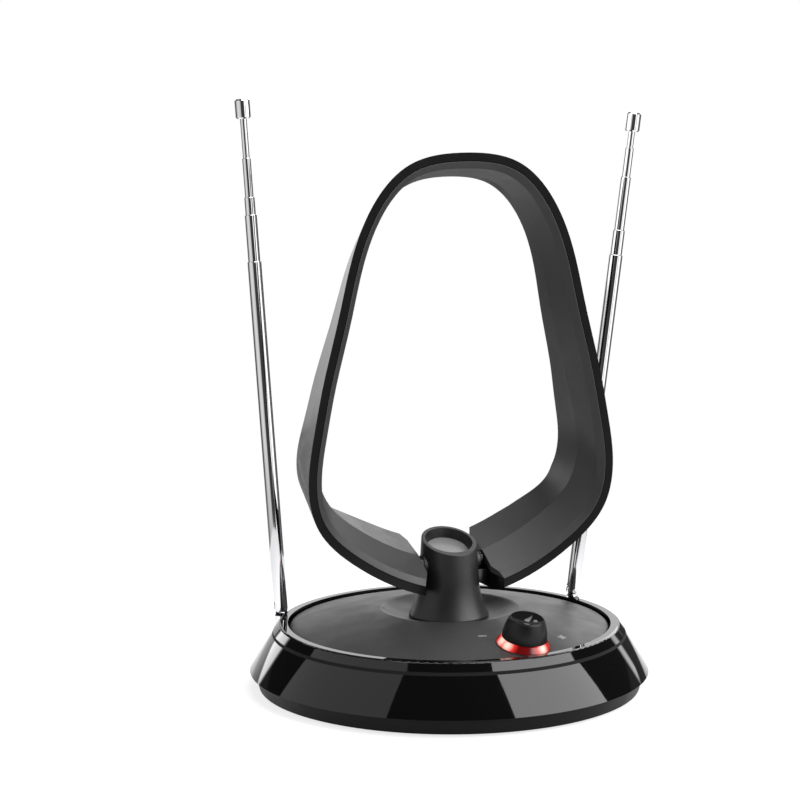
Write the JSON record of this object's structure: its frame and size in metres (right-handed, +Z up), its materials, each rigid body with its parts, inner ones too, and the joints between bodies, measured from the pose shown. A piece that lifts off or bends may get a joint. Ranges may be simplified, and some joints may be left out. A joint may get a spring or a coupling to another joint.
{
  "type": "indoor television antenna",
  "caption": "Table-top indoor television antenna: round weighted base with amplifier and gain knob, swivelling column, tilting loop and telescopic rods.",
  "frame": {"origin": "on the table, at the centre of the round base's non-slip pad", "axes": "+Z up, -Y towards the front with the gain knob, +X to the viewer's right, the rods at the back"},
  "size_m": [0.2133, 0.1978, 0.2926],
  "materials": {
    "gloss_black": "high gloss moulded plastic",
    "matte_grey": "fine matte moulded plastic",
    "matte_black": "matte moulded plastic",
    "rubber": "soft non-slip",
    "steel": "zinc plated",
    "chrome": "polished plating",
    "nickel": "nickel plating",
    "badge": "glossy silver-grey disc",
    "red_lens": "red translucent, lit",
    "board": "solder-masked laminate",
    "tinplate": "tinned",
    "foil": "bare strip"
  },
  "bodies": {
    "base": {"bottom_cover": "matte_black", "base_pad": "rubber", "cover_screws": "steel", "ballast_plate": "steel", "bezel_ring": "gloss_black", "top_dish": "matte_grey", "circuit_board": "board", "board_screws": "steel", "shield_can": "tinplate", "coax_socket": "nickel", "coax_nut": "nickel", "power_jack": "matte_black", "power_jack_pin": "nickel", "gain_pot": "matte_black", "gain_pot_nut": "steel", "light_ring": "red_lens", "indicator_leds": "red_lens"},
    "mast": {"column": "matte_grey", "column_badge": "badge", "swivel_collar": "matte_black"},
    "loop": {"loop_outer_shell": "gloss_black", "loop_inner_shell": "matte_grey", "loop_element": "foil", "pivot_screws": "steel", "friction_washers": "rubber"},
    "knob": {"gain_knob": "matte_black", "knob_cap": "gloss_black", "gain_shaft": "steel"},
    "left_swivel": {"left_rod_swivel": "chrome", "left_rod_nut": "steel"},
    "left_rod": {"left_rod_foot": "chrome", "left_rod_pin": "chrome", "left_rod_section_1": "chrome"},
    "left_stage_2": {"left_rod_section_2": "chrome"},
    "left_stage_3": {"left_rod_section_3": "chrome"},
    "left_stage_4": {"left_rod_section_4": "chrome"},
    "left_stage_5": {"left_rod_section_5": "chrome", "left_rod_cap": "chrome"},
    "right_swivel": {"right_rod_swivel": "chrome", "right_rod_nut": "steel"},
    "right_rod": {"right_rod_foot": "chrome", "right_rod_pin": "chrome", "right_rod_section_1": "chrome"},
    "right_stage_2": {"right_rod_section_2": "chrome"},
    "right_stage_3": {"right_rod_section_3": "chrome"},
    "right_stage_4": {"right_rod_section_4": "chrome"},
    "right_stage_5": {"right_rod_section_5": "chrome", "right_rod_cap": "chrome"}
  },
  "joints": [
    {"name": "mast_swivel", "type": "hinge", "parent": "base", "child": "mast", "pos_m": [0, 0, 0.0352], "axis": [0, 0, 1], "range_deg": [-70, 50]},
    {"name": "loop_tilt", "type": "hinge", "parent": "mast", "child": "loop", "pos_m": [0, 0, 0.062], "axis": [0.9848, 0.1736, 0], "range_deg": [-15, 40]},
    {"name": "knob_turn", "type": "hinge", "parent": "base", "child": "knob", "pos_m": [0.01985, -0.06295, 0.0344], "axis": [0.0663, -0.2102, 0.9754], "range_deg": [-150, 150]},
    {"name": "left_rod_turn", "type": "hinge", "parent": "base", "child": "left_swivel", "pos_m": [-0.07813, 0.03895, 0.021], "axis": [0, 0, 1], "range_deg": [-100, 40]},
    {"name": "left_rod_tilt", "type": "hinge", "parent": "left_swivel", "child": "left_rod", "pos_m": [-0.07813, 0.03895, 0.035], "axis": [0, -1, 0], "range_deg": [-8.8, 86.2]},
    {"name": "left_slide_2", "type": "slide", "parent": "left_rod", "child": "left_stage_2", "axis": [-0.0654, 0, 0.9979], "range_m": [-0.0213, 0.1167]},
    {"name": "left_slide_3", "type": "slide", "parent": "left_stage_2", "child": "left_stage_3", "axis": [-0.0654, 0, 0.9979], "range_m": [-0.0067, 0.1293]},
    {"name": "left_slide_4", "type": "slide", "parent": "left_stage_3", "child": "left_stage_4", "axis": [-0.0654, 0, 0.9979], "range_m": [-0.0173, 0.1167]},
    {"name": "left_slide_5", "type": "slide", "parent": "left_stage_4", "child": "left_stage_5", "axis": [-0.0654, 0, 0.9979], "range_m": [-0.0174, 0.1146]},
    {"name": "right_rod_turn", "type": "hinge", "parent": "base", "child": "right_swivel", "pos_m": [0.07813, 0.03895, 0.021], "axis": [0, 0, 1], "range_deg": [-40, 100]},
    {"name": "right_rod_tilt", "type": "hinge", "parent": "right_swivel", "child": "right_rod", "pos_m": [0.07813, 0.03895, 0.035], "axis": [0, 1, 0], "range_deg": [-12.2, 82.7]},
    {"name": "right_slide_2", "type": "slide", "parent": "right_rod", "child": "right_stage_2", "axis": [0.1253, 0, 0.9921], "range_m": [-0.0109, 0.1271]},
    {"name": "right_slide_3", "type": "slide", "parent": "right_stage_2", "child": "right_stage_3", "axis": [0.1253, 0, 0.9921], "range_m": [-0.0255, 0.1105]},
    {"name": "right_slide_4", "type": "slide", "parent": "right_stage_3", "child": "right_stage_4", "axis": [0.1253, 0, 0.9921], "range_m": [-0.013, 0.121]},
    {"name": "right_slide_5", "type": "slide", "parent": "right_stage_4", "child": "right_stage_5", "axis": [0.1253, 0, 0.9921], "range_m": [-0.0064, 0.1256]}
  ]
}
